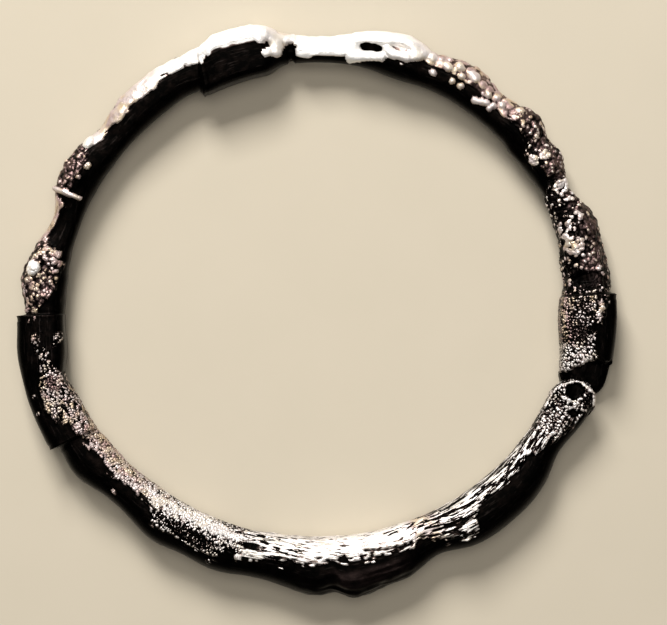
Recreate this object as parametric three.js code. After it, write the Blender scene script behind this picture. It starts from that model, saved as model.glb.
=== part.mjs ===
import * as THREE from "three";
import { mergeVertices } from "three/addons/utils/BufferGeometryUtils.js";

// A silver torc: one heavy neck-ring bent from a single bar, slim at the top and thick at the
// bottom, with its two ends lapped over each other at the lower right. It lies flat on its back.
// Millimetres. +X right, +Y towards the top of the ring, +Z up out of the face it shows.
// Places round the ring are clock angles in degrees: 0 at the top, 90 at the right.

// The ring as a whole: the edge of the neck opening, and the outside.
const NECK_ACROSS = 67.8; // half the opening, side to side
const NECK_TOP = 67.3; // opening, centre to top
const NECK_BOTTOM = 61.2; // opening, centre to bottom
const RIM_ACROSS = 79.4; // half the outside, side to side
const RIM_TOP = 77.2; // outside, centre to top
const RIM_BOTTOM = 76.3; // outside, centre to bottom

// The bar runs clockwise from the upper end of the lap, all the way round, to the lower end.
const UPPER_END = 104.4;
const LOWER_END = 468;
const END_ROUNDING = 4.5; // degrees of bar taken up by each rounded end

// Thickness of the bar, front to back.
const LIE = 6.1; // height of the middle of the bar above the ground
const HEIGHT_FOR_WIDTH = 0.84;
const LEAST_HEIGHT = 6.8;
const MOST_HEIGHT = 13;

// The lap: the upper end rises over the lower one.
const LAP_FOOT = 112.5; // where the upper end is back on the ground
const LAP_HEIGHT = 5.6; // underside of the upper end at its tip
const LAP_GAP = 0.45; // air between the two
const LAP_LIFT = 0.9; // how far the tip stands above the bar
const STEP_CLOCK = 460; // where the lower end drops away under the lap
const STEP_RADIUS = 74.8;
const STEP_SLANT = 0.56; // degrees the drop moves round for each mm towards the neck
const STEP_RUN = 3; // degrees over which it drops

// Swellings and waists in the outer side: clock angle, half-length in degrees, mm outwards.
const OUTER_SIDE = [
  [120, 6, -2.7], // waist behind the upper end
  [153, 6, -3.3],
  [172, 4, 1.9],
  [176.3, 1.7, -1.4],
  [181, 4, 0.9],
  [193, 9, -2.5],
  [209, 6, -1.7],
  [225.5, 8, -2.5],
  [236, 4, 1.0], // bulge below the left sleeve
  [268, 4, -0.9],
  [276, 4, 0.6],
  [289, 6, -3.7], // thin place on the left
  [297, 3, 0.3],
  [310.5, 4, -2.3],
  [325, 5, 0.7],
  [360, 9, -2.9], // the slim bar at the top
  [378.5, 6, 1.1], // outer strand of the loop
  [384.2, 2.2, -1.1],
  [394, 5, 0.8],
  [400.5, 4, -1.2],
  [409, 2.4, 1.1],
  [413.5, 2.2, -1.2],
  [424, 4.5, -3.0],
];

// The same for the side towards the neck: mm outwards, so a minus sign narrows the opening.
const NECK_SIDE = [
  [247, 12, 1.4],
  [255.5, 3.5, 1.9],
  [328, 4, 0.5],
  [379, 6, -1.1],
  [404, 12, 0.2],
  [424, 5, 1.2],
  [451, 8, -2.2],
  [466, 4, 0.8],
];

// Three stretches that stand proud like sleeves, squarer in section. They start and end crisply,
// but where a lead or a tail is given, that many degrees ease them out of or into the bar.
// The two taller ones touch the ground, as the right one and the bottom of the ring do.
const SLEEVES = [
  { from: 242.3, to: 269.4, lead: 0, tail: 0, out: 2.4, neck: 0, taller: 1.4, square: 1.2 }, // left
  { from: 332.2, to: 353, lead: 5, tail: 4.5, out: 1.9, neck: -2, taller: 0.9, square: 2.2 }, // top
  { from: 446.3, to: 480, lead: 0, tail: 0, out: 1.9, neck: 0, taller: 0, square: 1.4 }, // right
];
const ROUND_BAR = 2.2; // power of the section's curve: 2 is an ellipse, more is squarer
const CRISP = 0.12; // degrees either side of a crisp edge

// Hollows (minus) and beads in the front face: clock, radius, length, breadth, mm up.
const FRONT = [
  [107.8, 73.4, 2.6, 2.3, -2.1], // oval pit in the upper end
  [111.3, 75.6, 1.5, 1.4, -1.4],
  [371.6, 71.9, 3.0, 1.5, -2.6], // eye of the loop
  [377.2, 74.2, 2.2, 1.2, -1.2],
  [278.5, 77.0, 1.6, 1.6, 1.3], // bead
  [299, 73.2, 1.6, 1.6, 1.0],
  [256.3, 79.8, 0.9, 1.6, -1.3], // notch in the left sleeve
  [450, 79.0, 4.0, 2.4, -1.2],
];

const ROWS = 210;
const CAP_ROWS = 6;
const ROUND = 20;

const radians = THREE.MathUtils.degToRad;
const mix = THREE.MathUtils.lerp;
const ease = THREE.MathUtils.smoothstep;
const bell = (t) => Math.exp(-t * t);

// An oval with one half-width and different heights above and below.
function oval(clock, across, top, bottom) {
  const x = Math.sin(radians(clock)) / across;
  const up = Math.cos(radians(clock));
  const y = up / (up > 0 ? top : bottom);
  return 1 / Math.hypot(x, y);
}

function swellings(list, clock) {
  return list.reduce((sum, [at, half, size]) => sum + size * bell((clock - at) / half), 0);
}

// How much of a sleeve there is at a clock angle: nothing, all, or part where its end tails off.
function sleeveShare(sleeve, clock) {
  if (clock < sleeve.from || clock > sleeve.to) {
    return 0;
  }
  return sleeve.tail ? ease(sleeve.to - clock, 0, sleeve.tail) : 1;
}

// Its outer side may also rise slowly out of the bar.
function outerShare(sleeve, clock) {
  const lead = sleeve.lead ? ease(clock - sleeve.from, 0, sleeve.lead) : 1;
  return lead * sleeveShare(sleeve, clock);
}

// The bar's cross-section at a clock angle.
function section(clock) {
  let outer = oval(clock, RIM_ACROSS, RIM_TOP, RIM_BOTTOM) + swellings(OUTER_SIDE, clock);
  let neck = oval(clock, NECK_ACROSS, NECK_TOP, NECK_BOTTOM) + swellings(NECK_SIDE, clock);
  let power = ROUND_BAR;
  let taller = 0;
  for (const sleeve of SLEEVES) {
    const share = sleeveShare(sleeve, clock);
    outer += outerShare(sleeve, clock) * sleeve.out;
    neck += share * sleeve.neck;
    power += share * sleeve.square;
    taller += share * sleeve.taller;
  }
  const width = outer - neck;
  const wanted = width * HEIGHT_FOR_WIDTH + taller;
  const height = THREE.MathUtils.clamp(wanted, LEAST_HEIGHT, MOST_HEIGHT);
  return { radius: (outer + neck) / 2, half: width / 2, rise: height / 2, power };
}

// One side of a superellipse.
function bulge(value, power) {
  return Math.sign(value) * Math.abs(value) ** (2 / power);
}

// The lap: the upper end is lifted off the ground, the lower end pressed down under it.
function lap(clock, radius, height, top) {
  const slope = (at) => LAP_HEIGHT * (1 - ease(at, UPPER_END, LAP_FOOT));
  if (clock < LAP_FOOT) {
    const under = slope(clock);
    const lift = LAP_LIFT * (under / LAP_HEIGHT);
    return under + (height * (top + lift - under)) / top;
  }
  const start = STEP_CLOCK + STEP_SLANT * Math.max(0, STEP_RADIUS - radius);
  const share = ease(clock, start, start + STEP_RUN);
  const room = Math.min(LAP_HEIGHT, slope(clock - 360)) - LAP_GAP;
  return height * mix(1, room / top, share);
}

// Rows either side of a crisp edge are drawn in close to it.
const edges = SLEEVES.flatMap((sleeve) => (sleeve.tail ? [sleeve.from] : [sleeve.from, sleeve.to]));
const lengthRows = (LOWER_END - UPPER_END) / END_ROUNDING - 2;
const pitch = (lengthRows * END_ROUNDING) / ROWS;

function rowClock(clock) {
  for (const edge of edges) {
    const away = clock - edge;
    if (Math.abs(away) < pitch) {
      return edge + (away < 0 ? -CRISP : CRISP);
    }
  }
  return clock;
}

// A point of a straight round-ended rod, one unit in radius, taken to its place in the bent bar.
function bend(point) {
  const along = point.y + lengthRows / 2 + 1;
  const clock = rowClock(UPPER_END + along * END_ROUNDING);
  const { radius, half, rise, power } = section(clock);
  const share = Math.min(1, Math.hypot(point.x, point.z));
  const turn = Math.atan2(-point.z, point.x);
  const r = radius + half * share * bulge(Math.cos(turn), power);
  const facing = share * bulge(Math.sin(turn), power);
  const top = LIE + rise;
  let z = Math.max(0, LIE + rise * facing);
  for (const [at, where, length, breadth, size] of FRONT) {
    const round = radians(clock - at) * where;
    const near = bell(round / length) * bell((r - where) / breadth);
    z += size * near * Math.max(0, facing);
  }
  z = lap(clock, r, z, top);
  return new THREE.Vector3(r * Math.sin(radians(clock)), r * Math.cos(radians(clock)), z);
}

function torc() {
  const rod = new THREE.CapsuleGeometry(1, lengthRows, CAP_ROWS, ROUND, ROWS);
  rod.deleteAttribute("normal");
  rod.deleteAttribute("uv");
  const solid = mergeVertices(rod, 1e-5);
  const spots = solid.getAttribute("position");
  for (let i = 0; i < spots.count; i += 1) {
    const spot = bend(new THREE.Vector3().fromBufferAttribute(spots, i));
    spots.setXYZ(i, spot.x, spot.y, spot.z);
  }
  solid.computeVertexNormals();
  const silver = new THREE.MeshStandardMaterial({ color: 0x4a4541, metalness: 0.9, roughness: 0.5 });
  const mesh = new THREE.Mesh(solid, silver);
  mesh.name = "torc_hoop";
  return mesh;
}

const group = new THREE.Group();
group.name = "torc";
group.add(torc());
export default group;
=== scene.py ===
# %% [markdown]
# # A silver torc, corroded and worn
# The object is one heavy neck-ring bent from a single silver bar, now black with tarnish and rough
# with crust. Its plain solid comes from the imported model, which is loaded first. Everything made
# here is measured from that solid, so the two always agree.

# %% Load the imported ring
import math

import bpy
import numpy as np
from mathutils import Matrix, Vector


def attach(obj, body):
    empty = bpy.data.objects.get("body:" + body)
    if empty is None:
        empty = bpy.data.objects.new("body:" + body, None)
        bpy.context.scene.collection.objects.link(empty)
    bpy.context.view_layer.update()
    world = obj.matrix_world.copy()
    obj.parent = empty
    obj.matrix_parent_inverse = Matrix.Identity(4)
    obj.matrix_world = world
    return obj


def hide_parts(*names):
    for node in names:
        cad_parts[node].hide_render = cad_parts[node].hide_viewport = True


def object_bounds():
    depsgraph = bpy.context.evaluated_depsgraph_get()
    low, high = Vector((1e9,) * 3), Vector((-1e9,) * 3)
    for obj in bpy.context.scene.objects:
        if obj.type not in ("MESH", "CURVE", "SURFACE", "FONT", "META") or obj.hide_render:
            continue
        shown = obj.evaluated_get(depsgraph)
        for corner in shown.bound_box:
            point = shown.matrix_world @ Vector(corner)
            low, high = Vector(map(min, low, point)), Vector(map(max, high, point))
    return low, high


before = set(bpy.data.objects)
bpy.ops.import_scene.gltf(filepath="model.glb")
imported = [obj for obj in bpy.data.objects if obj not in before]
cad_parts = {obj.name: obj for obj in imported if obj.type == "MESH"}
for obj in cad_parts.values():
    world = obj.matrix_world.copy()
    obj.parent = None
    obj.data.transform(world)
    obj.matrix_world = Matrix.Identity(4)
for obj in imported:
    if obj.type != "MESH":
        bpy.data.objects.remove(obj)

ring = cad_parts["torc_hoop"]
cad_low, cad_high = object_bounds()
MM = 0.001
print("ring, mm:", [round(v / MM, 1) for v in cad_high - cad_low])

# %% [markdown]
# ## Reading the bar's cross-sections
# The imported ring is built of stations: flat slices across the bar, each with the same number of
# corners. A slice lies in a plane through the ring's axis, so all its corners have one clock angle,
# 0 at the top and 90 at the right. Sorting the corners by that angle finds the slices again. Within
# a slice, corners come in pairs at one radius, one above and one below, so sorting by radius and
# then by height puts them in order round the bar. Working from slices keeps the fine surface on
# the solid's own outline, which a sculpted copy would drift away from.

# %% Sort the corners into slices
corners = np.zeros(len(ring.data.vertices) * 3, np.float32)
ring.data.vertices.foreach_get("co", corners)
corners = np.unique(np.round(corners.reshape(-1, 3).astype(float) / MM, 3), axis=0)
clock = np.degrees(np.arctan2(corners[:, 0], corners[:, 1])) % 360
by_clock = np.argsort(clock)
corners, clock = corners[by_clock], clock[by_clock]
starts = np.flatnonzero(np.diff(clock, prepend=-1.0) > 0.01)
sizes = np.diff(starts, append=len(clock))
full = starts[sizes == sizes.max()]
tips = starts[sizes == 1]
around_count = int(sizes.max())
print("slices:", len(full), "of", around_count, "corners, and", len(tips), "tips")

# %% Put each slice's corners in order round the bar
slices = corners[full[:, None] + np.arange(around_count)]
radii = np.round(np.hypot(slices[..., 0], slices[..., 1]), 2)
order = np.lexsort((-slices[..., 2], -radii), axis=1)
slices = np.take_along_axis(slices, order[..., None], axis=1)
top_side = [0] + list(range(1, around_count - 1, 2)) + [around_count - 1]
under_side = list(range(around_count - 2, 0, -2))
slices = slices[:, top_side + under_side]
slice_clock = clock[full]

# %% Unroll the ring into one run of bar, from the upper end of the lap to the lower
# The bar's two ends lap at the lower right. There the one that lies higher starts the run.
UPPER_END, LOWER_TIP = 104.4, 468.0
middle_height = slices[..., 2].mean(1)
half_height = (cad_high.z / MM) / 2
under_lap = (slice_clock < LOWER_TIP - 360) & (middle_height < half_height)
run = slice_clock + 360 * (under_lap | (slice_clock < UPPER_END))
tip_points = corners[tips]
tip_run = clock[tips] + 360 * (tip_points[:, 2] < half_height)
stations = np.concatenate([run, tip_run])
slices = np.concatenate([slices, np.repeat(tip_points[:, None], around_count, axis=1)])
in_turn = np.argsort(stations)
stations, slices = stations[in_turn], slices[in_turn]
slice_r = np.hypot(slices[..., 0], slices[..., 1])
slice_z = slices[..., 2]
print("bar runs from", stations[0].round(1), "to", stations[-1].round(1), "degrees")

# %% [markdown]
# ## A finer grid over the same bar
# The surface is a grid of two parameters: the clock angle along the bar, and the turn round it,
# which starts at the outside, climbs over the front, comes down the neck side and returns
# underneath. Rows are drawn close together at the crisp ends of the sleeves, and columns are
# denser on the front than underneath, where the ring lies.

# %% Rows and columns
def smooth(x, low, high):
    """Rises from 0 at low to 1 at high along 3t*t - 2t*t*t, flat at both ends."""
    t = np.clip((x - low) / (high - low), 0, 1)
    return t * t * (3 - 2 * t)


ROWS, COLS = 1180, 82
CRISP_ENDS = [242.3, 269.4, 332.2, 446.3]  # clock angles where a sleeve ends in a square step
MEAN_R = 72.0  # radius of the bar's middle line, mm: it turns degrees into distance along the bar
STEP_HALF = 0.04  # degrees from a square end to the row on either side of it
FRONT_DENSER = 0.5
rows = np.linspace(UPPER_END, LOWER_TIP, ROWS + 2)[1:-1]
pitch = rows[1] - rows[0]
for end in CRISP_ENDS:
    away = rows - end
    near = np.abs(away) < 3 * pitch
    rows[near] = end + np.sign(away[near]) * (np.abs(away[near]) - 0.4 * pitch).clip(STEP_HALF)
evenly = np.linspace(0, 1, 4001)
density = 1 + FRONT_DENSER * np.sin(2 * np.pi * evenly)
so_far = np.concatenate([[0], np.cumsum((density[1:] + density[:-1]) / 2)])
turns = np.interp(np.arange(COLS) / COLS, so_far / so_far[-1], evenly)
print("grid:", ROWS, "x", COLS, "row pitch, mm:", round(math.radians(pitch) * MEAN_R, 2))


# %% Carry the slices over to the grid
def round_the_bar(table, turn):
    """A closed curve through the slice's corners: the cubic that leaves each corner
    along the line joining its two neighbours."""
    n = table.shape[1]
    k = np.floor(turn * n).astype(int)
    t = turn * n - k
    a, b, c, d = (table[:, (k + step) % n] for step in (-1, 0, 1, 2))
    return b + 0.5 * t * (c - a + t * (2 * a - 5 * b + 4 * c - d + t * (3 * (b - c) + d - a)))


def along_the_bar(table, where):
    """Straight lines between neighbouring slices."""
    i = np.clip(np.searchsorted(stations, where) - 1, 0, len(stations) - 2)
    t = (where - stations[i]) / (stations[i + 1] - stations[i])
    return table[i] + t[:, None] * (table[i + 1] - table[i])


def soften(table, reach, keep):
    """The mean of each row and its neighbours up to `reach` rows off, except where keep is 1."""
    padded = np.pad(table, ((reach, reach), (0, 0)), mode="edge")
    mean = sum(padded[i:i + len(table)] for i in range(2 * reach + 1)) / (2 * reach + 1)
    return mean + keep[:, None] * (table - mean)


near_end = np.max([1 - smooth(np.abs(rows - end), 0.3, 1.6) for end in CRISP_ENDS], axis=0)
near_tip = 1 - smooth(rows, UPPER_END, UPPER_END + 4) + smooth(rows, LOWER_TIP - 8, LOWER_TIP - 7)
keep = np.clip(near_end + near_tip, 0, 1)
SOFTEN_ROWS = 4
# For every row and column: R is the distance from the ring's axis, base_z the height.
R = soften(along_the_bar(round_the_bar(slice_r, turns), rows), SOFTEN_ROWS, keep)
base_z = soften(along_the_bar(round_the_bar(slice_z, turns), rows), SOFTEN_ROWS, keep)
neck_r, width = R.min(1), np.ptp(R, axis=1)
print("bar width, mm:", width.min().round(1), "to", width.max().round(1))

# %% [markdown]
# ## A slanting sleeve end
# The left-hand end of the top sleeve is cut on the slant: its outer corner stands further along
# the bar than its neck corner. So slices near that end are leaned, most at the end itself and
# less and less away from it, by an angle that grows from nothing at the neck side to the whole
# slant at the outside. It depends on the turn round the bar alone, so no slice crosses another.

# %% Lean the slices near the top sleeve's end
SLANTING_END, SLANT, SLANT_REACH = 332.2, 4.2, 10.0
lean = SLANT * (1 - smooth(np.abs(rows - SLANTING_END), 0, SLANT_REACH))
CLOCK = rows[:, None] + lean[:, None] * (0.5 + 0.5 * np.cos(2 * np.pi * turns))
print("slices stay in order:", bool((np.diff(CLOCK, axis=0) > 0).all()))

# %% [markdown]
# ## The lap
# Where the ends lap, the lower one's front drops away along a slanting edge, and a tongue of it
# goes on under the other end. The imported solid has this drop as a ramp; here the full section is
# carried up to the edge and the tongue's section back to it, so the edge is crisp.

# %% Sharpen the slanting edge
EDGE_CLOCK, EDGE_RADIUS, EDGE_SLANT, EDGE_RUN = 459.7, 74.8, 0.56, 0.7
FULL_UNTIL, TONGUE_FROM = 457.5, 465.0
full_row = base_z[np.searchsorted(rows, FULL_UNTIL)]
tongue_row = base_z[np.searchsorted(rows, TONGUE_FROM)]
edge = EDGE_CLOCK + EDGE_SLANT * np.clip(EDGE_RADIUS - R, 0, None)
edge = edge + 0.25 * np.sin(R * 2.1) + 0.15 * np.sin(R * 5.3)
dropped = smooth(CLOCK, edge, edge + EDGE_RUN)
at_edge = (CLOCK > FULL_UNTIL) & (CLOCK < TONGUE_FROM)
Z = np.where(at_edge, full_row + dropped * (tongue_row - full_row), base_z)
in_recess = dropped * (CLOCK > FULL_UNTIL)
print("drop at the lap, mm:", round(float(full_row.max() - tongue_row.max()), 1))

# %% [markdown]
# ## Kinds of roughness
# Corroded silver breaks up in different ways along this ring: fibres run along the lower arm
# where the metal has opened along its working direction, rounded nodules and beads of corrosion
# sit on the upper arms, and fine granules cover the sleeves. Each is made from repeatable noise on
# the bar as if it were straight: distance along it, outwards, and up. Noise on the straight bar
# follows the bend, so the fibres do too. A seed is any whole number that no other noise has.


# %% Noise on whole arrays
def scatter(cell, seed):
    """A number from 0 to 1 for each whole-numbered cell: its coordinates times three
    large odd numbers, added, then stirred by shifts and multiplications."""
    c = cell.astype(np.int64).astype(np.uint32)
    h = c[..., 0] * np.uint32(374761393) + c[..., 1] * np.uint32(668265263)
    h = h + c[..., 2] * np.uint32(2246822519) + np.uint32(seed * 3266489 + 97)
    h = (h ^ (h >> np.uint32(13))) * np.uint32(1274126177)
    h = (h ^ (h >> np.uint32(15))) * np.uint32(2654435761)
    return (h ^ (h >> np.uint32(16))).astype(float) / 2**32


def clouds(place, size, seed):
    """Smooth noise from -1 to 1: the eight corners of a cell each have a scattered
    value, and the point takes an eased mean of them."""
    p = place / np.asarray(size, float)
    low = np.floor(p)
    t = p - low
    t = t * t * (3 - 2 * t)
    total = 0
    for corner in np.ndindex(2, 2, 2):
        c = np.array(corner)
        weight = np.prod(np.where(c == 1, t, 1 - t), axis=-1)
        total = total + weight * scatter(low + c, seed)
    return 2 * total - 1


def pebbles(place, size, seed):
    """Each cell holds one scattered seed point, kept off its walls. Gives the distance to
    the nearest seed point, in cells, and that seed's own number."""
    p = place / np.asarray(size, float)
    low = np.floor(p)
    nearest = np.full(p.shape[:-1], 9.0)
    number = nearest.copy()
    for corner in np.ndindex(3, 3, 3):
        cell = low + np.array(corner) - 1
        seed_point = np.stack([scatter(cell, seed + i) for i in range(3)], axis=-1)
        d = np.sqrt(((cell + 0.15 + 0.7 * seed_point - p) ** 2).sum(-1))
        number = np.where(d < nearest, scatter(cell, seed + 7), number)
        nearest = np.minimum(nearest, d)
    return nearest, number


print("cells 1 2 3 and 1 2 4 scatter to", scatter(np.array([[1, 2, 3], [1, 2, 4]]), 0).round(3))

# %% The straightened bar
centre_r = (R.max(1) + R.min(1)) / 2
centre_z = (Z.max(1) + Z.min(1)) / 2
bar = np.stack([
    np.radians(CLOCK) * MEAN_R,
    R - centre_r[:, None],
    Z - centre_z[:, None],
], axis=-1)
girth = np.repeat(np.where(turns > 0.75, turns - 1, turns)[None] * 2, ROWS, axis=0)
print("bar length, mm:", round(float(bar[-1, 0, 0] - bar[0, 0, 0])))

# %% [markdown]
# ## Where the crust lies, and the painted lit side
# The smooth bar is black, and the bright rough crust lies on only part of it. Across the bar, 0 is
# the neck side and 1 the outside; below 0 and above 1 is the underside, reached over that edge.
# For clock angles along the run, one list gives the crust's two limits. These limits put the bright
# crust on the side of each arm that faces the key light, over the top of the ring, and leave the
# side turned away black, so besides crust they are painted light and painted shade. A second list
# gives its cover: how much of it is bright, the rest being black gaps. A third gives how rosy it
# is. Between the listed angles all of them are interpolated, and the limits get a ragged edge.

# %% Shares of the width, and the crust's limits
share = (R - neck_r[:, None]) / width[:, None]
across = np.where(girth < 0, 2 - share, np.where(girth > 1, -share, share))
LIMITS = np.array([
    # clock, neck limit, outer limit
    (104, -0.2, 1.2), (109, -0.2, 1.0), (113, -0.2, 0.80), (117, -0.2, 0.74),
    (119.5, -0.2, 0.58), (123, -0.2, 0.46), (124.5, -0.2, 0.30), (134, -0.2, 0.30),
    (140, -0.2, 0.27), (142, -0.2, 0.45), (143.5, -0.2, 0.76), (148, -0.2, 0.76),
    (151, -0.2, 0.62), (154, -0.2, 0.50), (157, -0.2, 0.44), (165, -0.2, 0.39),
    (172, -0.2, 0.34), (177, -0.2, 0.38), (184, -0.2, 0.40), (188, -0.2, 0.50),
    (197, -0.2, 0.60), (200, -0.2, 0.58), (203, -0.2, 0.74), (208, -0.2, 0.68),
    (213, -0.2, 0.66), (218.3, -0.2, 0.66), (218.9, -0.1, 0.40), (226, -0.1, 0.40),
    (232, -0.1, 0.40), (237, -0.1, 0.29), (243, -0.1, 0.32), (245.5, 0.0, 0.36),
    (248, 0.0, 0.60), (251.5, 0.0, 0.70), (256, 0.0, 0.54), (258, 0.30, 0.46), (264, 0.53, 0.58),
    (269, 0.59, 0.63), (269.8, 0.68, 1.2), (272, 0.42, 1.2), (275, 0.22, 1.2), (281, 0.18, 1.2),
    (283.5, 0.35, 1.2), (284.5, 0.85, 1.3), (291, 0.80, 1.3), (292.5, 0.66, 1.3),
    (294.5, 0.90, 1.3), (296, 0.50, 1.3), (303, 0.55, 1.3), (305, 0.70, 1.3), (309, 0.76, 1.3),
    (311.5, 0.82, 1.3), (313.5, 0.64, 1.3), (317, 0.60, 1.3), (320, 0.64, 1.3),
    (323.8, 0.52, 1.3), (325.5, 0.70, 1.3), (328, 0.68, 1.3), (330.5, 0.60, 1.3),
    (332, 0.66, 1.3), (337, 0.68, 1.3), (338, 0.72, 1.3), (347, 0.71, 1.3), (349, 0.62, 1.3),
    (350.5, 0.38, 1.3), (352.2, 0.28, 1.3), (353, 0.54, 1.3), (355.2, 0.76, 1.3),
    (355.5, 0.20, 1.3), (360, 0.24, 1.3), (367, 0.22, 1.3), (367.5, 0.10, 1.3), (371, 0.13, 1.3),
    (374.5, 0.26, 1.3), (376, 0.36, 1.3), (380, 0.44, 1.3), (383, 0.66, 1.3), (386, 0.60, 1.3),
    (393, 0.57, 1.3), (406, 0.56, 1.3), (409, 0.50, 1.3), (412, 0.35, 1.3), (414, 0.20, 1.2),
    (416.5, 0.22, 1.2), (418, 0.45, 1.2), (421, 0.36, 1.2), (423, 0.08, 1.2), (430, -0.1, 1.2),
    (446, -0.1, 1.1), (446.6, -0.1, 0.82), (451, -0.1, 0.80), (453, -0.1, 0.58),
    (459, -0.1, 0.60), (468, -0.1, 0.52),
])
print("crust limits at", len(LIMITS), "clock angles; `across` runs", across.min().round(2), "to",
      across.max().round(2))

# %% The crust's cover and its tint
COVER = np.array([
    # clock, cover
    (104, 0.35), (113, 0.45), (120, 0.42), (134, 0.45), (140, 0.50), (148, 0.42), (154, 0.55),
    (158, 0.78), (172, 0.82), (180, 0.75), (187, 0.62), (197, 0.54), (202, 0.52), (208, 0.52),
    (218, 0.50), (219.5, 0.75), (232, 0.86), (243, 0.80), (256, 0.50), (268, 0.50), (270, 0.70),
    (283, 0.70), (285, 0.20), (293, 0.20), (296, 0.37), (304, 0.37), (309, 0.70), (313, 0.95),
    (382, 1.0), (385, 0.66), (390, 0.46), (404, 0.43), (412, 0.44), (425, 0.36), (440, 0.38),
    (446, 0.40), (447, 0.40), (456, 0.38), (459, 0.52), (468, 0.55),
])
ROSY = np.array([
    # clock, rosiness
    (104, 0.4), (148, 0.4), (151, 0.9), (156, 0.9), (158, 0.3), (186, 0.4), (205, 0.45),
    (215, 0.3), (223, 0.7), (230, 0.95), (240, 1.1), (256, 0.8), (262, 0.6), (270, 1.25),
    (283, 1.15), (296, 1.3), (303, 1.3), (305, 0.5), (308, 0.7), (312, 1.0), (320, 0.8),
    (325, 0.5), (328, 0.2), (333, 0.3), (338, 0.0), (347, 0.1), (351, 0.7), (355, 0.6),
    (356, 0.0), (372, 0.0), (380, 0.5), (386, 1.1), (404, 1.2), (412, 0.8), (425, 0.6),
    (440, 0.9), (447, 0.8), (456, 0.7), (460, 0.4), (468, 0.3),
])
print("cover at", len(COVER), "clock angles, tint at", len(ROSY))


# %% Lay the crust
def along_run(table, column):
    """One column of a list, carried to every point of the grid."""
    return np.interp(CLOCK, table[:, 0], table[:, column])


EDGE = 0.03  # half the breadth of the crust's fading edge, as a share of the width
ragged = 0.05 * clouds(bar, (3.0, 2.5, 2.5), 11) + 0.05 * clouds(bar, (1.0, 1.0, 1.0), 12)
ragged += 0.06 * clouds(bar, (4.5, 0.7, 0.7), 15) + 0.07 * clouds(bar, (2.0, 0.45, 0.45), 16)
# Along the top sleeve and the slim bar beside it the crust's edge is nearly straight.
straight = np.maximum(smooth(CLOCK, 336, 338) * (1 - smooth(CLOCK, 347, 349)),
                      smooth(CLOCK, 358, 359.5) * (1 - smooth(CLOCK, 365.5, 367)))
ragged = ragged * (1 - 0.85 * straight)
# Crust, and painted light and shade: bright on the side of each arm facing the key light, black on
# the side turned away.
crust_and_lit_side = smooth(across - along_run(LIMITS, 1) - ragged, -EDGE, EDGE)
crust_and_lit_side = crust_and_lit_side * (1 - smooth(across - along_run(LIMITS, 2) - ragged, -EDGE, EDGE))
# Square ends are bare, except where the crust runs on over them.
for end in CRISP_ENDS:
    clear = smooth(np.abs(rows - end), 0.15, 0.45)[:, None]
    runs_on = (end == SLANTING_END) & (across > 0.7)
    runs_on = runs_on | ((end == CRISP_ENDS[0]) & (across < 0.3))
    crust_and_lit_side = crust_and_lit_side * np.maximum(clear, runs_on)
cover, rosy = along_run(COVER, 1), along_run(ROSY, 1)
print("share of the surface under crust:", round(float(crust_and_lit_side.mean()), 2))

# %% [markdown]
# ## Which roughness goes where
# Each kind of roughness has its own stretches of the run, given as clock angles. Some also keep to
# one side: flakes to the outside of the right-hand sleeve, and a thin brown film to places where
# the crust is worn through but not black. The same film colour, laid faintly on the lower outside
# of the bottom arm, is a painted sheen. Plain stretches have hardly any grain on their front,
# though the outer wall is granular there too.

# %% Stretches of the run
def stretch(low, high, ease=2.5):
    """1 between two clock angles, easing to 0 over a few degrees either side."""
    return smooth(CLOCK, low - ease, low + ease) * (1 - smooth(CLOCK, high - ease, high + ease))


fibrous = stretch(104, 203, 5)
granular = np.maximum.reduce([
    stretch(198, 269, 5), stretch(444, 470, 0.6), 0.6 * stretch(103, 119, 4)])
flakes = 0.8 * stretch(446.7, 452, 0.3) * smooth(across, 0.55, 0.68)
nodular = np.maximum.reduce([
    stretch(269.5, 284, 0.6), stretch(295.8, 305.5, 0.6), stretch(406, 445, 3), flakes])
beaded = stretch(383, 407, 1)
plain = np.maximum(stretch(309, 347.5, 1), stretch(355, 382, 0.5))
print("nodules on", (nodular > 0.5).mean().round(2), "of the surface, granules on",
      (granular > 0.5).mean().round(2))

# %% The outer wall, the brown film, and a painted sheen
rise = (Z - Z.min(1, keepdims=True)) / np.ptp(Z, axis=1)[:, None]
wavering = 0.12 * clouds(bar, (4, 3, 3), 13) + 0.10 * clouds(bar, 1.2, 14)
sides = (1 - smooth(rise + wavering, 0.42, 0.72)) * smooth(share, 0.5, 0.8)
film_and_sheen = np.maximum.reduce([
    stretch(284, 295, 1) * smooth(across, 0.68, 0.85),
    stretch(383, 445, 2) * smooth(across, 0.50, 0.75),
    0.4 * stretch(269.5, 284, 1) * smooth(across, 0.15, 0.35),
    stretch(295.5, 309, 1) * smooth(across, 0.50, 0.60),
    0.1 * stretch(447, 459, 2) * (1 - smooth(across, 0.4, 0.6)),
]) * crust_and_lit_side * (1 - 0.9 * stretch(441, 446, 1))
# A faint band of the film colour on the lower outside of the bottom arm, from 161 to 176 degrees,
# is a painted sheen on the black.
painted_sheen_band = smooth(across, 0.5, 0.62) * (1 - smooth(across, 0.78, 0.9))
film_and_sheen = np.maximum(film_and_sheen, 0.1 * stretch(161, 176, 3) * painted_sheen_band)
film_and_sheen = np.maximum(film_and_sheen, 0.3 * (1 - smooth(rise + wavering, 0.15, 0.45)) * (1 - in_recess))
print("film on", (film_and_sheen > 0.2).mean().round(2), "of the surface")

# %% [markdown]
# ## The grain of each kind
# Noise is read at places that wander a little, so that no row of grains is straight. Fibres are
# ridges where a noise stretched along the bar passes through 0: 1 less twice its size. Nodules,
# beads and granules are balls round scattered seed points.

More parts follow.
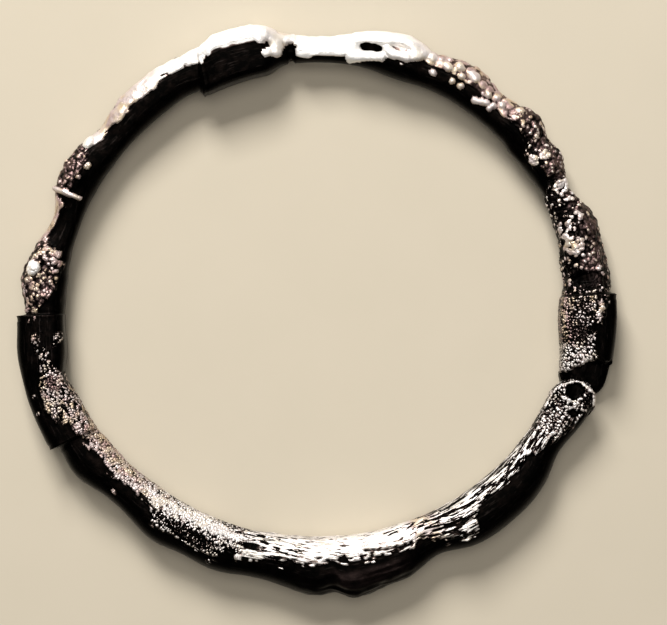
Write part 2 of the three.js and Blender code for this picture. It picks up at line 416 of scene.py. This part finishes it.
# %% Fibres, nodules, beads and granules
bent = bar + 0.9 * np.stack([clouds(bar, 9, 21), clouds(bar, 9, 22), clouds(bar, 9, 23)], axis=-1)
fibres = 1 - 2 * np.abs(clouds(bent, (13, 1.5, 1.5), 31))
fine_fibres = 1 - 2 * np.abs(clouds(bent, (6, 0.8, 0.8), 32))


def rounded(size, seed, spread=0.66):
    """Balls pressed together: the root of one less the squared distance from each seed
    point, and how deep in the gap between balls a point is."""
    near, number = pebbles(bent, size, seed)
    ball = np.sqrt(np.clip(1 - (near / spread) ** 2, 0, 1))
    return ball * (0.4 + 0.6 * number), smooth(near, 0.42, 0.62)


nodules, between_nodules = rounded((1.5, 1.7, 1.7), 41)
beads_all, between_beads = rounded((2.2, 2.2, 2.2), 42, 0.62)
granules, _ = rounded((1.1, 1.3, 1.1), 43, 0.7)
print("balls, mean height:", [grain.mean().round(2) for grain in (nodules, beads_all, granules)])

# %% Add them up, in mm
FIBRES_MM, NODULES_MM, BEADS_MM, GRANULES_MM = 0.32, 0.55, 0.7, 0.25
LUMPS_MM, CRUST_STEP_MM = 0.10, 0.28
granular = np.maximum(granular, sides * np.maximum(plain, beaded))  # the outer wall
crevice = np.maximum(nodular * between_nodules, 0.4 * beaded * between_beads)
lumps = clouds(bar, 6, 51) + 0.5 * clouds(bar, 3, 52)
relief = LUMPS_MM * lumps + FIBRES_MM * crust_and_lit_side * fibrous * (0.7 * fibres + 0.35 * fine_fibres)
relief += crust_and_lit_side * nodular * (NODULES_MM * (nodules - 0.35) + 0.3 * lumps)
relief += crust_and_lit_side * beaded * (BEADS_MM * (beads_all - 0.4) + 0.2 * lumps)
relief += crust_and_lit_side * granular * (GRANULES_MM * (granules - 0.5) + 0.15 * lumps)
# A few stretches have more of their own: the lumpy upper arms, the top, and the streaked bottom.
relief += stretch(404, 445, 4) * 0.3 * lumps + stretch(270, 303, 3) * 0.2 * lumps
relief *= 1 - 0.75 * plain * (1 - sides)
uneven = stretch(311, 333, 1) + 0.4 * stretch(334, 382, 1)
relief += crust_and_lit_side * uneven * (0.35 * clouds(bent, 2.4, 53) + 0.2 * clouds(bent, 1.1, 56))
relief += crust_and_lit_side * stretch(141, 153, 2) * smooth(across, 0.3, 0.5) * 0.3 * (fibres + fine_fibres)
relief += stretch(160, 182, 5) * smooth(across, 0.5, 0.7) * 0.22 * (fibres + clouds(bent, 1.8, 54))
relief += CRUST_STEP_MM * (crust_and_lit_side - 0.5)
print("grain alone, mm:", relief.min().round(2), "to", relief.max().round(2))

# %% [markdown]
# ## Single features
# Some marks are one of a kind: the oval pits in the upper end's rounded tip, the loop with its
# dark eye at the top, the round beads, the curl at the end of the top sleeve, the thin plate that
# stands across the upper left. Each is placed by its clock angle and its share of the width. Pits
# and beads are ovals; the loop and the curl are strands, raised along a path.

# %% Ovals and strands on the front
# WOBBLE keeps outlines from being neat. UNDERNEATH keeps every feature off the underside.
X, Y = R * np.sin(np.radians(CLOCK)), R * np.cos(np.radians(CLOCK))
WOBBLE = 0.22 * clouds(bar, 1.6, 61)
UNDERNEATH = 9 * ((across < -0.1) | (across > 1.1))


def spot(clock, share):
    """Where a clock angle and a share of the width lie on the straightened bar, in mm."""
    out = np.interp(clock, rows, neck_r) + share * np.interp(clock, rows, width)
    return math.radians(clock) * MEAN_R, out


def from_oval(clock, share, length, breadth):
    """Distance from an oval's middle, 1 on its outline: the root of the summed squares
    of the distance along over its half-length and across over its half-breadth."""
    along, out = spot(clock, share)
    return np.hypot((bar[..., 0] - along) / length, (R - out) / breadth) + WOBBLE + UNDERNEATH


def pit(clock, share, length, breadth, depth):
    """A hollow with a flat floor and a steep wall."""
    return -depth * (1 - smooth(from_oval(clock, share, length, breadth), 0.6, 1.1))


def bead(clock, share, length, breadth, height):
    """Half a ball: height times the root of one less the squared distance."""
    return height * np.sqrt(np.clip(1 - from_oval(clock, share, length, breadth) ** 2, 0, 1))


def strand(path, thickness, height):
    """A round strand along straight steps between (clock, share of width) points: half
    an oval of the distance to the nearest step."""
    nearest = np.full(R.shape, 99.0)
    points = [spot(*point) for point in path]
    for (ax, ay), (bx, by) in zip(points, points[1:]):
        dx, dy = bx - ax, by - ay
        t = np.clip(((bar[..., 0] - ax) * dx + (R - ay) * dy) / (dx * dx + dy * dy), 0, 1)
        nearest = np.minimum(nearest, np.hypot(bar[..., 0] - ax - t * dx, R - ay - t * dy))
    nearest = nearest + 0.4 * WOBBLE + UNDERNEATH
    return height * np.sqrt(np.clip(1 - (nearest / thickness) ** 2, 0, 1))


PITS = [
    # clock, share of the width, half-length mm, half-breadth mm, depth mm
    (107.0, 0.48, 2.5, 3.0, 0.7), (111.6, 0.64, 1.2, 1.6, 0.6), (371.8, 0.56, 3.0, 1.2, 2.3),
    (349.6, 0.58, 1.1, 1.0, 1.4), (354.3, 0.30, 1.3, 3.2, 1.6), (247.5, 0.45, 1.2, 0.5, 0.8),
    (442.8, 0.50, 1.7, 4.0, 0.6), (427.3, 0.60, 0.8, 3.5, 0.7), (355.5, 0.55, 0.5, 0.6, 0.8),
    (420.6, 0.70, 0.8, 3.0, 0.7), (195.0, 0.28, 4.0, 0.8, 0.3),
]
GROOVES = [
    # path of (clock, share of the width), half-width mm, depth mm
    ([(159.0, 0.38), (163.0, 0.33), (168.5, 0.24)], 0.42, 0.6),
    ([(151.0, 0.50), (155.0, 0.38)], 0.35, 0.5),
]
pits = [pit(*each) for each in PITS] + [-strand(*each) for each in GROOVES]
shallow = pit(377.8, 0.66, 2.9, 1.4, 0.3)
BEADS = [
    # clock, share of the width, half-length mm, half-breadth mm, height mm
    (278.7, 0.77, 1.9, 1.6, 1.1), (299.5, 0.50, 0.7, 0.7, 0.8), (302.4, 0.48, 1.4, 1.0, 0.8),
    (306.6, 0.86, 1.9, 1.3, 1.0), (386.0, 0.42, 1.1, 0.95, 0.9), (390.5, 0.40, 0.9, 0.9, 0.8),
    (392.6, 0.40, 1.0, 0.95, 0.8), (384.6, 0.80, 1.2, 1.2, 0.8), (388.2, 0.70, 1.5, 1.2, 0.8),
    (391.6, 0.62, 1.0, 0.9, 0.8), (390.4, 0.82, 1.3, 1.2, 0.8), (393.8, 0.78, 1.7, 1.4, 0.8),
    (398.5, 0.68, 0.9, 0.9, 0.8), (400.1, 0.80, 0.9, 0.9, 0.8), (400.6, 0.56, 0.9, 0.9, 0.8),
    (400.3, 0.42, 0.8, 0.8, 0.8), (402.0, 0.72, 1.0, 1.0, 0.8),
]
beads = [bead(*each) for each in BEADS]
big_bead = beads[0]
print("pits and grooves:", len(pits), "beads:", len(beads))

# %% The loop, the curl, the plate, and the rim of the upper end
STRANDS = [
    # path of (clock, share of the width), half-width mm, height mm
    ([(368.8, 0.84), (373, 0.86), (379, 0.85), (382.5, 0.82)], 1.9, 0.6),
    ([(382.6, 0.84), (382.0, 0.68), (380.8, 0.60)], 1.4, 0.6),
    ([(367.6, 0.20), (370.4, 0.30), (374.3, 0.38)], 1.35, 0.9),
    ([(375.4, 0.55), (376.6, 0.50), (379.6, 0.52)], 1.3, 0.7),
    ([(333.0, 0.88), (338, 0.91), (347, 0.91), (350.4, 0.88)], 1.9, 0.5),
    ([(350.0, 0.86), (351.8, 0.72), (351.6, 0.50), (351.3, 0.38)], 1.4, 0.7),
    ([(351.5, 0.78), (353.4, 0.76), (355.0, 0.84)], 1.2, 0.6),
    ([(348.6, 0.40), (350.6, 0.38)], 0.8, 0.6),
    ([(295.3, 1.0), (295.6, 0.28)], 0.65, 1.1),
    ([(396.8, 0.32), (399.4, 0.50)], 0.9, 0.8),
]
RIMS = [
    # the same
    ([(112.5, 0.05), (109, 0.02), (106.5, 0.08), (105.0, 0.35), (105.0, 0.65), (106.6, 0.96),
      (109.5, 1.0)], 0.38, 0.35),
    ([(109.2, 0.25), (109.6, 0.55), (109.2, 0.85)], 0.36, 0.3),
    ([(110.0, 0.85), (110.3, 0.60), (111.0, 0.42)], 0.34, 0.25),
]
strands = [strand(*each) for each in STRANDS]
rims = [strand(*each) for each in RIMS]
print("strands:", len(strands), "rims:", len(rims))

# %% Islands of crust, and waxy patches of film
ISLANDS = [
    # clock, share of the width, half-length mm, half-breadth mm
    (264.4, 0.12, 1.5, 1.3), (262.7, 0.20, 0.6, 0.6), (261.4, 0.33, 0.5, 0.5),
    (253.2, 0.81, 0.5, 0.5), (249.8, 0.86, 0.4, 0.5), (228.4, 0.73, 0.8, 0.5),
    (203.4, 0.84, 0.7, 0.8), (188.0, 0.62, 0.7, 0.35), (150.4, 0.80, 0.9, 0.3),
]
WAXY = [
    # clock, share of the width, half-length mm, half-breadth mm
    (255.0, 0.28, 2.8, 2.4), (274.5, 0.42, 2.2, 2.0), (418.6, 0.66, 2.3, 3.6),
    (439.8, 0.62, 2.4, 3.4), (402.5, 0.86, 4.0, 1.6), (394.5, 0.92, 2.5, 1.2),
]
outlying = np.max([1 - smooth(from_oval(*island), 0.8, 1.1) for island in ISLANDS], axis=0)
waxy = np.max([1 - smooth(from_oval(*patch), 0.7, 1.1) for patch in WAXY], axis=0)
print("islands and waxy patches cover:", (np.maximum(outlying, waxy) > 0.5).mean().round(3))

# %% Put the features on the bar
# The grain is weaker under raised features, which have a little roughness of their own.
sunk = np.minimum.reduce(pits)
raised = np.maximum.reduce(beads + strands)
rim = np.maximum.reduce(rims)
relief = relief * (1 - 0.7 * (raised > 0)) + raised + rim + sunk + shallow
relief += smooth(raised, 0, 0.3) * (0.14 * clouds(bent, 1.3, 55) + 0.08 * lumps)
# Crust also covers raised features and islands, and leaves pits and the recess at the lap bare.
crust_and_lit_side = np.clip(np.maximum.reduce([crust_and_lit_side, outlying, 3 * raised]), 0, 1)
crust_and_lit_side = crust_and_lit_side * (1 - 0.93 * smooth(-sunk, 0.2, 0.6)) * (1 - in_recess)
# Less is bright on the outer wall and in the shallow pit, more on raised features and the rim.
cover = cover - 0.35 * sides * (cover > 0.5)
film_and_sheen = np.maximum(film_and_sheen, 1.5 * waxy * crust_and_lit_side)
standing = smooth(raised, 0, 0.3) * (1 - sides)
cover = np.maximum(cover, np.maximum(standing, 0.6 * smooth(rim, 0, 0.2)))
film_and_sheen = np.maximum(film_and_sheen, smooth(-shallow, 0.1, 0.3))
# The big bead is white, other raised features are paler than their surroundings.
rosy = rosy * (1 - smooth(big_bead, 0.1, 0.4)) * (1 - 0.4 * smooth(raised, 0.1, 0.5))
cover = cover - 0.6 * smooth(-shallow, 0.1, 0.3)
rosy = rosy + 0.7 * stretch(444, 457, 1) * (1 - smooth(across, 0.12, 0.25))
print("relief, mm:", relief.min().round(2), "to", relief.max().round(2))

# %% [markdown]
# ## Bright clusters and dull gaps
# Some grains of the crust stand in bright clusters and others lie in dull gaps. Both are ovals,
# and each adds its strength to a mark called gleam, which later makes more or less of the crust
# bright. Below 0 an oval is a gap.

# %% Clusters and gaps
CLUSTERS = [
    # clock, share of the width, half-length mm, half-breadth mm, strength
    (281.8, 0.35, 2.0, 1.2, 0.8), (276.0, 0.80, 2.5, 1.5, 0.3), (408.0, 0.66, 1.6, 1.2, 0.8),
    (411.5, 0.80, 1.4, 1.2, 0.6), (415.6, 0.66, 1.5, 2.2, 1.3), (415.0, 0.34, 2.0, 1.4, 1.3),
    (422.8, 0.70, 1.9, 2.8, 1.3), (425.6, 0.80, 1.1, 1.6, 0.8), (425.0, 0.44, 1.2, 1.5, 0.3),
    (430.0, 0.62, 1.6, 1.5, 1.0), (431.0, 0.34, 1.3, 1.0, 1.0), (435.8, 0.36, 3.2, 2.7, 1.2),
    (438.6, 0.12, 1.4, 1.2, 0.6), (449.6, 0.67, 2.8, 1.5, 0.7), (450.0, 0.07, 8.0, 0.8, 0.4),
    (459.5, 0.45, 2.6, 2.6, 0.4), (206.0, 0.80, 2.0, 0.8, 0.5), (228.0, 0.25, 6.0, 1.5, 0.2),
    (250.5, 0.60, 3.0, 1.0, 0.3), (418.5, 0.75, 2.0, 3.0, -0.6), (413.0, 0.50, 1.0, 2.0, -0.5),
    (443.5, 0.60, 2.4, 5.0, -0.9), (434.0, 0.85, 5.0, 1.6, -0.6), (255.0, 0.32, 2.8, 1.9, -0.9),
    (253.0, 0.18, 2.0, 1.0, -0.5), (201.0, 0.62, 2.0, 1.4, -0.5), (188.5, 0.48, 1.0, 1.5, -0.8),
    (278.0, 0.45, 2.0, 1.4, -0.4), (454.0, 0.34, 3.5, 2.4, -0.5), (448.5, 0.40, 2.5, 2.0, -0.35),
    (147.0, 0.45, 5.0, 1.6, -0.5), (145.5, 0.62, 4.5, 1.4, -0.25), (195.0, 0.30, 5.0, 0.9, -0.7),
    (209.0, 0.52, 12.0, 2.0, -0.7), (208.0, 0.14, 14.0, 2.0, 0.9), (218.0, 0.20, 8.0, 2.2, 0.6),
    (248.0, 0.28, 2.5, 0.7, -0.8), (190.5, 0.46, 3.0, 1.0, -0.9), (199.5, 0.46, 2.0, 1.2, -0.4),
    (107.0, 0.50, 2.5, 3.0, -0.4), (271.0, 0.40, 2.5, 2.0, -0.9), (274.5, 0.42, 2.0, 1.8, -0.4),
    (434.0, 0.14, 6.0, 1.5, 0.6), (300.0, 0.85, 5.0, 1.5, -0.4), (395.4, 0.56, 2.4, 1.3, -1.2),
]
gleam = np.zeros(R.shape)
for clock_at, share_at, length, breadth, strength in CLUSTERS:
    within = np.clip(1.6 - 1.6 * from_oval(clock_at, share_at, length, breadth) ** 2, 0, 1)
    gleam = gleam + strength * within
relief = relief + 0.3 * gleam.clip(-0.5, 1) * crust_and_lit_side * nodular
print("clusters cover:", round(float((gleam > 0.3).mean()), 3))

# %% [markdown]
# ## Raising the surface
# Each point moves along the surface's own normal, which is the cross product of the grid's two
# directions. The underside is held level with the ground, so the small flats that the ring lies on
# stay flat, and relief that would stand above the solid's own height is halved.

# %% Move every point along its normal
place = np.stack([X, Y, Z], axis=-1)
down_row = np.gradient(place, axis=0)
round_col = (np.roll(place, -1, axis=1) - np.roll(place, 1, axis=1)) / 2
normal = np.cross(round_col, down_row)
normal /= np.linalg.norm(normal, axis=-1, keepdims=True) + 1e-12
tip_fade = smooth(rows, UPPER_END, UPPER_END + 1.5) * (1 - smooth(rows, LOWER_TIP - 1.5, LOWER_TIP))
tip_fade = tip_fade[:, None]
under = smooth(-np.sin(np.pi * girth), 0.2, 0.9)
lift = relief * tip_fade * (1 - 0.5 * under)
shaped = place + lift[..., None] * normal
HEADROOM = 0.3  # mm below the solid's top where the halving starts
above = (shaped[..., 2] - cad_high.z / MM + HEADROOM).clip(0)
shaped[..., 2] = (shaped[..., 2] - 0.5 * above).clip(0)
from_middle = place - place.mean(1, keepdims=True)
outwards = (normal * from_middle).sum(-1) > 0
print("share of normals pointing outwards:", outwards.mean().round(3))


# %% Make the mesh
def closed_bar(name, rings, first_tip, last_tip, marks):
    """Rings of points joined by four-sided faces, with a fan of triangles to a single
    point at each end. marks are numbers per point, kept as attributes."""
    n_rows, n_cols = rings.shape[:2]
    points = np.concatenate([rings.reshape(-1, 3), [first_tip, last_tip]]) * MM
    at = np.arange(n_rows * n_cols).reshape(n_rows, n_cols)
    beside = np.roll(at, -1, axis=1)
    quads = np.stack([at[:-1], beside[:-1], beside[1:], at[1:]], axis=-1).reshape(-1, 4)
    first = np.stack([np.full(n_cols, at.size), beside[0], at[0]], axis=-1)
    last = np.stack([np.full(n_cols, at.size + 1), at[-1], beside[-1]], axis=-1)
    loops = np.concatenate([quads.ravel(), first.ravel(), last.ravel()])
    totals = np.concatenate([np.full(len(quads), 4), np.full(2 * n_cols, 3)])
    mesh = bpy.data.meshes.new(name)
    mesh.vertices.add(len(points))
    mesh.vertices.foreach_set("co", points.astype(np.float32).ravel())
    mesh.loops.add(len(loops))
    mesh.loops.foreach_set("vertex_index", loops.astype(np.int32))
    mesh.polygons.add(len(totals))
    starts_at = np.concatenate([[0], np.cumsum(totals)[:-1]])
    mesh.polygons.foreach_set("loop_start", starts_at.astype(np.int32))
    mesh.polygons.foreach_set("use_smooth", np.ones(len(totals), bool))
    for mark, values in marks.items():
        kind, key = ("FLOAT_VECTOR", "vector") if values.ndim == 3 else ("FLOAT", "value")
        ends = [values[0].mean(0), values[-1].mean(0)]
        every = np.concatenate([values.reshape(n_rows * n_cols, -1), np.reshape(ends, (2, -1))])
        every = every.astype(np.float32).ravel()
        mesh.attributes.new(mark, kind, "POINT").data.foreach_set(key, every)
    mesh.update(calc_edges=True)
    mesh.validate()
    piece = bpy.data.objects.new(name, mesh)
    bpy.context.scene.collection.objects.link(piece)
    return piece


# How much lower a point lies than the mean of those three rows or columns away from it.
around = sum(np.roll(relief, step, axis=axis) for axis in (0, 1) for step in (-3, 3)) / 4
hollow = np.clip((around - relief) * 1.6, -1, 1)
torc = closed_bar(
    "torc", shaped, tip_points[np.argmin(tip_run)], tip_points[np.argmax(tip_run)],
    {"crust_and_lit_side": crust_and_lit_side, "hollow": hollow, "grainy": np.maximum(granular, nodular), "lumpy": nodular,
     "fibrous": fibrous, "crevice": crevice, "cover": cover, "rosy": rosy, "film_and_sheen": film_and_sheen,
     "gleam": gleam, "solid": smooth(raised, 0, 0.25) * (1 - sides), "bar": bar},
)
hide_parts("torc_hoop")
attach(torc, "root")
print("numbers kept on the mesh:", len(torc.data.attributes))

# %% Count the triangles and see which way they face
torc.data.calc_loop_triangles()
triangles = np.zeros(len(torc.data.loop_triangles) * 3, np.int32)
torc.data.loop_triangles.foreach_get("vertices", triangles)
spots = np.zeros(len(torc.data.vertices) * 3, np.float32)
torc.data.vertices.foreach_get("co", spots)
a, b, c = spots.astype(float).reshape(-1, 3)[triangles.reshape(-1, 3)].transpose(1, 0, 2)
volume = (a * np.cross(b, c)).sum() / 6
print("triangles:", len(a))
print("volume, cm3:", round(volume * 1e6, 1), "(above 0: faces point outwards)")

# %% [markdown]
# ## The finish
# Silver tarnishes to black sulphide. Handling and cleaning wear it back to bright metal on the
# ridges of the crust, and leave it in the hollows. So one mask decides between two looks: black,
# half-glossy tarnish, and pale silver with a little pink and cream in it. Besides that wear, the
# mask paints light and shade: it follows the crust's limits, which make the side of each arm facing
# the key light bright and the side turned away black. Two helpers keep the node maths readable: a
# wrapper that lets sockets be added and multiplied, and one call that adds any other node.


# %% Node helpers
class Value:
    """A number that varies over the surface: + - and * on it add Math nodes."""

    def __init__(self, tree, socket):
        self.tree, self.socket = tree, socket

    def maths(self, operation, first, second=None, clamp=False):
        node = self.tree.nodes.new("ShaderNodeMath")
        node.operation, node.use_clamp = operation, clamp
        for slot, value in zip(node.inputs, (first, second)):
            if isinstance(value, Value):
                self.tree.links.new(value.socket, slot)
            elif value is not None:
                slot.default_value = value
        return Value(self.tree, node.outputs[0])

    def __add__(self, other):
        return self.maths("ADD", self, other)

    def __sub__(self, other):
        return self.maths("SUBTRACT", self, other)

    def __mul__(self, other):
        return self.maths("MULTIPLY", self, other)

    def __rsub__(self, other):
        return self.maths("SUBTRACT", other, self)

    __radd__, __rmul__ = __add__, __mul__

    def at_most(self, other):
        return self.maths("MINIMUM", self, other)

    def at_least(self, other):
        return self.maths("MAXIMUM", self, other)

    def between(self, low, high):
        """0 at low, 1 at high, held there beyond."""
        return self.maths("MULTIPLY", self - low, 1 / (high - low), clamp=True)


class Finish:
    """A material and the means to add nodes to it."""

    def __init__(self, name):
        self.material = bpy.data.materials.new(name)
        self.material.use_nodes = True
        self.tree = self.material.node_tree
        self.tree.nodes.clear()

    def node(self, kind, settings=None, output=0, **inputs):
        """Adds a node of this kind, applies its settings, then fills or links its inputs,
        which go by name, or by number as i0, i1 and so on."""
        made = self.tree.nodes.new("ShaderNode" + kind)
        for key, value in (settings or {}).items():
            setattr(made, key, value)
        for key, value in inputs.items():
            numbered = key[0] == "i" and key[1:].isdigit()
            slot = made.inputs[int(key[1:]) if numbered else key.replace("_", " ")]
            if isinstance(value, Value):
                self.tree.links.new(value.socket, slot)
            else:
                slot.default_value = value
        return Value(self.tree, made.outputs[output])

    def mark(self, name):
        """One of the numbers kept on the mesh's points."""
        return self.node("Attribute", {"attribute_name": name}, output=2)

    def blend(self, factor, first, second):
        """A colour between two colours."""
        return self.node("Mix", {"data_type": "RGBA"}, output=2, i0=factor, i6=first, i7=second)

    def surface(self, **inputs):
        """Adds the shader with these inputs and the output it goes to, and gives the material."""
        shader = self.node("BsdfPrincipled", **inputs)
        out = self.tree.nodes.new("ShaderNodeOutputMaterial")
        self.tree.links.new(shader.socket, out.inputs["Surface"])
        return self.material


print("helpers: Value and Finish")


# %% The torc's finish
def wear_and_painted_light(name, colours):
    """Black tarnish, dull grey and worn silver, mixed by where the crust stands up, with painted
    light and shade: bright on the side of each arm facing the key light, black on the side away.
    """
    f = Finish(name)
    bar_place = f.node("Attribute", {"attribute_name": "bar"}, output=1)

    def on_bar(kind, sizes, place=bar_place, output=0, **inputs):
        """A texture whose grain has these sizes, in mm, along the bar, outwards and up."""
        scaled = f.node("VectorMath", {"operation": "DIVIDE"}, i0=place, i1=sizes)
        return f.node(kind, output=output, Vector=scaled, Scale=1.0, **inputs)

    # Textures: two sizes of grain, and noise from fine pits to broad patches.
    swirl = on_bar("TexNoise", (1.6, 1.6, 1.6), output=1, Detail=1.0)
    swirled = f.node("VectorMath", {"operation": "MULTIPLY_ADD"}, i0=swirl, i1=(0.9, 0.9, 0.9),
                     i2=bar_place)
    small = on_bar("TexVoronoi", (0.62, 0.76, 0.68), place=swirled, Randomness=0.95)
    large = on_bar("TexVoronoi", (1.1, 1.25, 1.15), place=swirled, Randomness=0.95)
    lot = on_bar("TexVoronoi", (1.1, 1.25, 1.15), place=swirled, output=1, Randomness=0.95)
    fine = on_bar("TexNoise", (0.5, 0.5, 0.5), Detail=3.0, Roughness=0.6)
    lines = on_bar("TexNoise", (5.0, 0.55, 0.55), Detail=3.0, Roughness=0.6, Distortion=0.3)
    patch = on_bar("TexNoise", (2.6, 2.2, 2.2), Detail=3.0, Roughness=0.6)
    tint = on_bar("TexNoise", (4.0, 3.0, 3.0), Detail=2.0)

    # What stands up is worn bright, what lies deep stays black. The crust mark also paints light
    # and shade: bright on the side facing the key light, black on the side turned away.
    crusty_and_lit, hollowed, gleam = f.mark("crust_and_lit_side"), f.mark("hollow"), f.mark("gleam")
    grainy, lumpy, threaded = f.mark("grainy"), f.mark("lumpy"), f.mark("fibrous")
    more = f.mark("cover") - 0.5 + gleam * 0.6
    grains = small + (large - small) * lumpy
    tops = (grains - more * 0.25).between(0.51, 0.40)
    ridges = (lines + more * 0.2).between(0.48, 0.54)
    broken = tops * grainy + (1 - grainy) * (1 - threaded + ridges * threaded)
    loose = 1 - f.mark("solid")
    worn_and_lit = broken * 0.75 + patch * 0.9 + fine * 0.3 + more * 0.9
    worn_and_lit = worn_and_lit + (lot - 0.5) * grainy * loose * 0.5
    worn_and_lit = worn_and_lit - loose * (hollowed * 0.7 + f.mark("crevice") * 0.6) - 0.72
    worn_and_lit = crusty_and_lit * (worn_and_lit + f.mark("solid") * 0.5)
    bright = worn_and_lit.between(0.24, 0.38)
    dull = worn_and_lit.between(0.06, 0.28)

    # Colours: silver tinted pink and cream, and black with faint lighter streaks of painted sheen
    # and a brown film, which on the lower outside of the bottom arm is a painted sheen too.
    rosy = f.mark("rosy") * (0.4 + tint)
    rosy = rosy + (lot - 0.5) * grainy * 0.5 + (0.5 - lines) * threaded * 1.6
    rosy = rosy.at_most(1.0).at_least(0.0)
    warm = f.blend(tint.between(0.45, 0.6), colours["pink"], colours["cream"])
    silver = f.blend((rosy * (1.45 - patch)).at_most(1.0), colours["silver"], warm)
    black = f.blend(patch.between(0.45, 0.75), colours["black"], colours["brown"])
    # Faint lighter streaks on the black: a painted sheen.
    black = f.blend(lines.between(0.58, 0.72), black, colours["painted_sheen"])
    mottled = (patch + (0.42 - grains) * grainy).between(0.15, 0.65)
    black = f.blend((f.mark("film_and_sheen") * mottled).at_most(1.0), black, colours["film_and_sheen"])
    under = f.blend(dull, black, colours["grey"])

    # Fine relief, too small for the mesh.
    height = fine * (0.12 + crusty_and_lit * 0.2) + (1 - grains) * grainy * crusty_and_lit * 1.3
    height = height + lines * threaded * crusty_and_lit * 0.9 + patch * crusty_and_lit * 0.6
    bump = f.node("Bump", Strength=0.8, Distance=0.0005, Height=height)
    return f.surface(Base_Color=f.blend(bright, under, silver), Metallic=1.0 - 0.5 * bright,
                     Roughness=0.30 + 0.2 * fine, Normal=bump)


COLOURS = {
    "silver": (0.93, 0.91, 0.885, 1),
    "cream": (0.52, 0.40, 0.27, 1),
    "pink": (0.36, 0.235, 0.22, 1),
    "black": (0.0012, 0.0011, 0.0010, 1),
    "brown": (0.005, 0.0035, 0.003, 1),
    # painted sheen: a lighter colour for faint streaks on the black
    "painted_sheen": (0.014, 0.011, 0.010, 1),
    "film_and_sheen": (0.17, 0.112, 0.106, 1),
    "grey": (0.17, 0.12, 0.105, 1),
}
torc.data.materials.append(wear_and_painted_light("tarnished silver", COLOURS))
print("nodes in the finish:", len(torc.data.materials[0].node_tree.nodes))

# %% [markdown]
# ## Floor, light and camera
# The ring lies on a pale floor and the camera looks straight down on it. One wide soft light
# stands well over towards the top of the ring, so sides that face it shine and those turned
# away stay black; a weak one overhead keeps the hollows readable.

# %% Floor
size = cad_high - cad_low
middle = (cad_high + cad_low) / 2
FLOOR_REACH = 12 * max(size)
floor_corners = [(x * FLOOR_REACH, y * FLOOR_REACH, 0)
                 for x, y in ((-1, -1), (1, -1), (1, 1), (-1, 1))]
floor_mesh = bpy.data.meshes.new("floor")
floor_mesh.from_pydata(floor_corners, [], [(0, 1, 2, 3)])
floor = bpy.data.objects.new("floor", floor_mesh)
floor.location.z = cad_low.z
bpy.context.scene.collection.objects.link(floor)
paper = Finish("pale paper")
paper_spot = paper.node("TexCoord", output=3)
mottle = paper.node("TexNoise", Vector=paper_spot, Scale=40.0, Detail=3.0)
paper_colour = paper.blend(mottle, (0.47, 0.42, 0.33, 1), (0.495, 0.44, 0.35, 1))
floor_mesh.materials.append(paper.surface(Base_Color=paper_colour, Roughness=0.9))
print("floor, m across:", round(2 * FLOOR_REACH, 2))


# %% Lights
def soft_light(name, azimuth, height, distance, wide, watts, colour):
    """A square area light on a sphere round the ring, turned to its middle. Azimuth is a
    clock angle, 0 over the top of the ring; height is degrees above the ground; distance
    and width are in metres."""
    data = bpy.data.lights.new(name, "AREA")
    data.size, data.energy, data.color = wide, watts, colour
    a, e = math.radians(azimuth), math.radians(height)
    lamp = bpy.data.objects.new(name, data)
    away = (math.sin(a) * math.cos(e), math.cos(a) * math.cos(e), math.sin(e))
    lamp.location = [m + distance * v for m, v in zip(middle, away)]
    lamp.rotation_euler = (middle - lamp.location).to_track_quat("-Z", "Y").to_euler()
    bpy.context.scene.collection.objects.link(lamp)


DAYLIGHT, WARMER = (1, 0.98, 0.95), (1, 0.97, 0.92)
soft_light("key", azimuth=-16, height=38, distance=1.5, wide=0.58, watts=38, colour=DAYLIGHT)
soft_light("fill", azimuth=0, height=84, distance=1.5, wide=1.1, watts=10, colour=WARMER)
world = bpy.data.worlds.new("dim room")
world.use_nodes = True
sky = world.node_tree.nodes["Background"]
sky.inputs["Color"].default_value = (0.9, 0.88, 0.85, 1)
sky.inputs["Strength"].default_value = 0.12
bpy.context.scene.world = world
bpy.context.scene.view_settings.view_transform = "Standard"

# %% Camera
camera_data = bpy.data.cameras.new("camera")
camera_data.lens = 120
camera_data.sensor_width = 36
VIEW_WIDTH = 1.1117 * size.x  # the ring takes up nine tenths of the view
ASIDE = 0.0275 * size.x  # and sits a little left of its middle
distance = VIEW_WIDTH * camera_data.lens / camera_data.sensor_width
camera = bpy.data.objects.new("camera", camera_data)
look_at = (middle.x + ASIDE, middle.y, cad_high.z / 2)
camera.location = (look_at[0], look_at[1], look_at[2] + distance)
camera_data.clip_start, camera_data.clip_end = 0.01, 20
bpy.context.scene.collection.objects.link(camera)
bpy.context.scene.camera = camera
print("camera height, m:", round(distance, 3))
